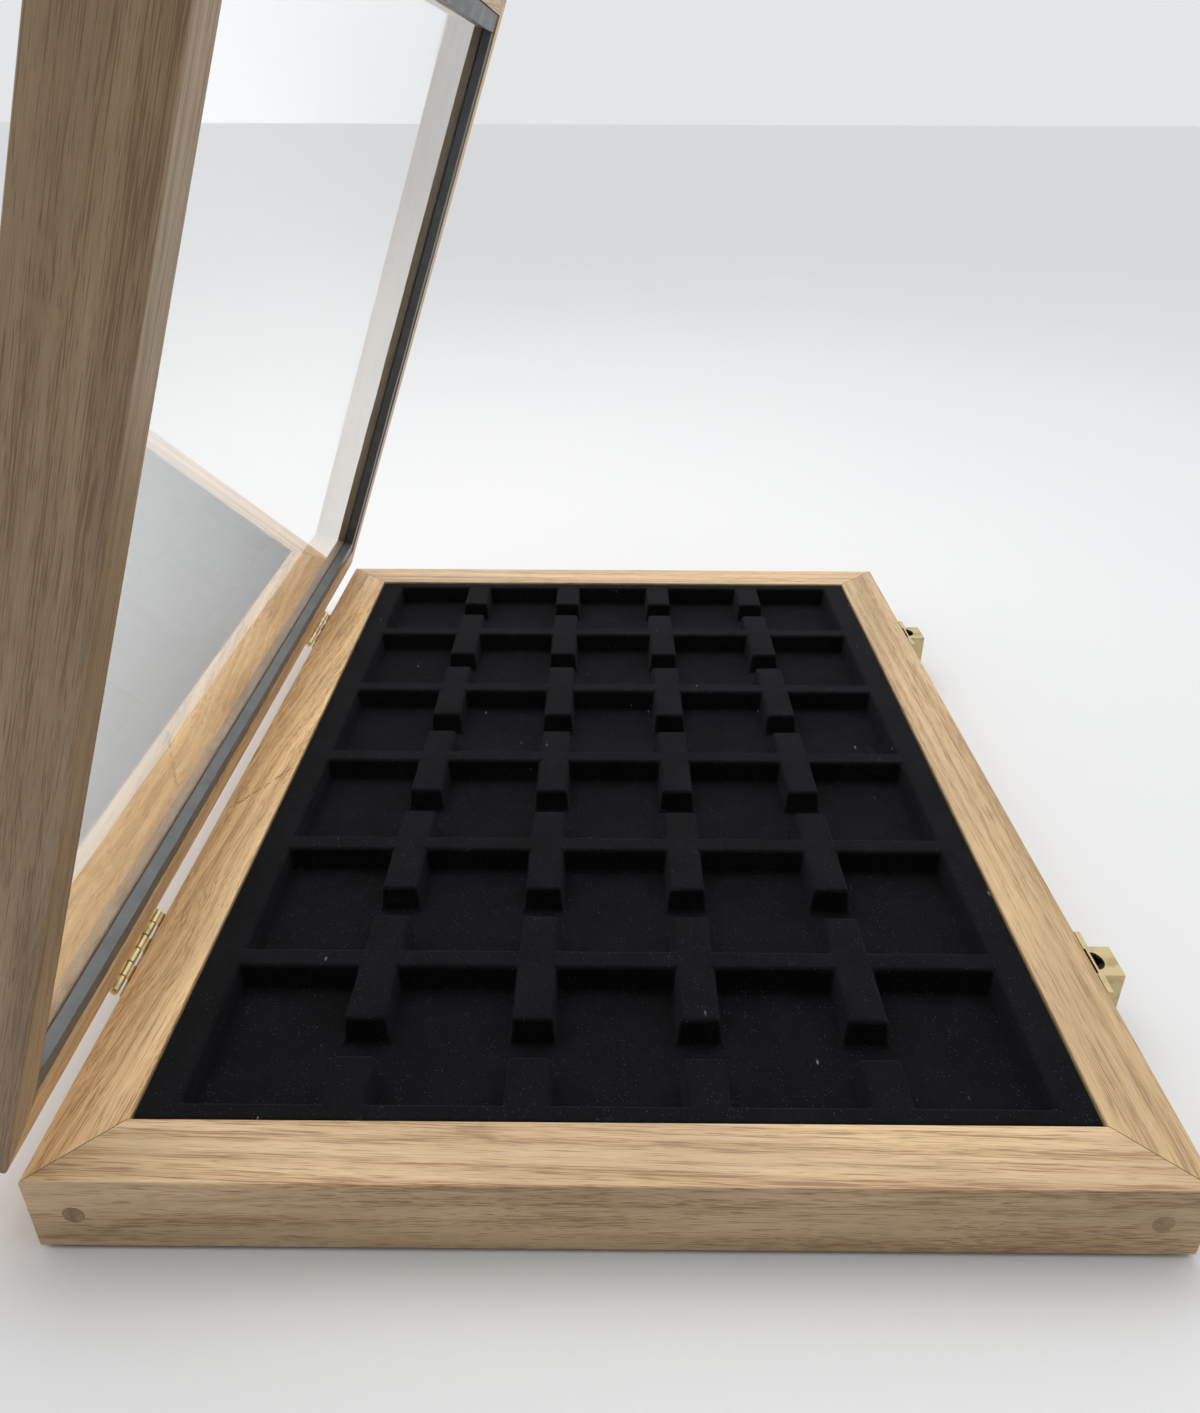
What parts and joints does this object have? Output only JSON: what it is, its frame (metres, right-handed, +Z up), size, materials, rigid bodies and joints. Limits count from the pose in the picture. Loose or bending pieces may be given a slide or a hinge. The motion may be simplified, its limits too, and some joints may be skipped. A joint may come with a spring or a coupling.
{
  "type": "display case",
  "caption": "Rectangular oak display case with a glass lid hinged open along one long side, brass hinges and snap catches, and a black flocked tray of rectangular coin holder pockets.",
  "frame": {"origin": "centre of the base's underside, on the bottom panel's lower face; the feet reach 2 mm below it", "axes": "+Z up, +Y along the long sides from front to back, +X from the hinged side towards the catches"},
  "size_m": [0.5422, 0.682, 0.5197],
  "materials": {
    "oak": "clear satin lacquer on open-pored oak",
    "dowel_wood": "end grain of hardwood dowel",
    "plywood": "unfinished thin plywood",
    "foam": "plain foam sheet",
    "flock": "matte black flocking",
    "glass": "clear float glass",
    "strip": "grey flexible extrusion",
    "brass": "aged brass",
    "spring_steel": "plain spring steel",
    "rubber": "black rubber bumper"
  },
  "bodies": {
    "base": {"base_dowel_back_left": "dowel_wood", "base_dowel_back_right": "dowel_wood", "base_dowel_front_left": "dowel_wood", "base_dowel_front_right": "dowel_wood", "base_rail_back": "oak", "base_rail_front": "oak", "base_rail_left": "oak", "base_rail_right": "oak", "bottom_panel": "plywood", "catch_back_base_screw_1": "brass", "catch_back_base_screw_2": "brass", "catch_back_box": "brass", "catch_front_base_screw_1": "brass", "catch_front_base_screw_2": "brass", "catch_front_box": "brass", "coin_tray": "flock", "foot_back_left": "rubber", "foot_back_right": "rubber", "foot_front_left": "rubber", "foot_front_right": "rubber", "hinge_back_base_leaf": "brass", "hinge_back_base_screw_1": "brass", "hinge_back_base_screw_2": "brass", "hinge_back_base_screw_3": "brass", "hinge_back_pin": "brass", "hinge_front_base_leaf": "brass", "hinge_front_base_screw_1": "brass", "hinge_front_base_screw_2": "brass", "hinge_front_base_screw_3": "brass", "hinge_front_pin": "brass", "tray_riser": "foam"},
    "lid": {"catch_back_hook": "brass", "catch_back_lid_screw_1": "brass", "catch_back_lid_screw_2": "brass", "catch_front_hook": "brass", "catch_front_lid_screw_1": "brass", "catch_front_lid_screw_2": "brass", "glass_pane": "glass", "glass_strip_back": "strip", "glass_strip_front": "strip", "glass_strip_left": "strip", "glass_strip_right": "strip", "hinge_back_lid_leaf": "brass", "hinge_back_lid_screw_1": "brass", "hinge_back_lid_screw_2": "brass", "hinge_back_lid_screw_3": "brass", "hinge_front_lid_leaf": "brass", "hinge_front_lid_screw_1": "brass", "hinge_front_lid_screw_2": "brass", "hinge_front_lid_screw_3": "brass", "lid_dowel_back_left": "dowel_wood", "lid_dowel_back_right": "dowel_wood", "lid_dowel_front_left": "dowel_wood", "lid_dowel_front_right": "dowel_wood", "lid_rail_back": "oak", "lid_rail_front": "oak", "lid_rail_left": "oak", "lid_rail_right": "oak"},
    "front_catch_spring": {"catch_front_spring": "spring_steel"},
    "back_catch_spring": {"catch_back_spring": "spring_steel"}
  },
  "joints": [
    {"name": "lid_hinge", "type": "hinge", "parent": "base", "child": "lid", "pos_m": [-0.2489, 0, 0.0408], "axis": [0, -1, 0], "range_deg": [-70, 110]},
    {"name": "front_catch_flex", "type": "hinge", "parent": "base", "child": "front_catch_spring", "pos_m": [0.2546, -0.2025, 0.0184], "axis": [0, 1, 0], "range_deg": [0, 6], "stiffness_Nm_per_rad": 0.5},
    {"name": "back_catch_flex", "type": "hinge", "parent": "base", "child": "back_catch_spring", "pos_m": [0.2546, 0.2025, 0.0184], "axis": [0, 1, 0], "range_deg": [0, 6], "stiffness_Nm_per_rad": 0.5}
  ]
}
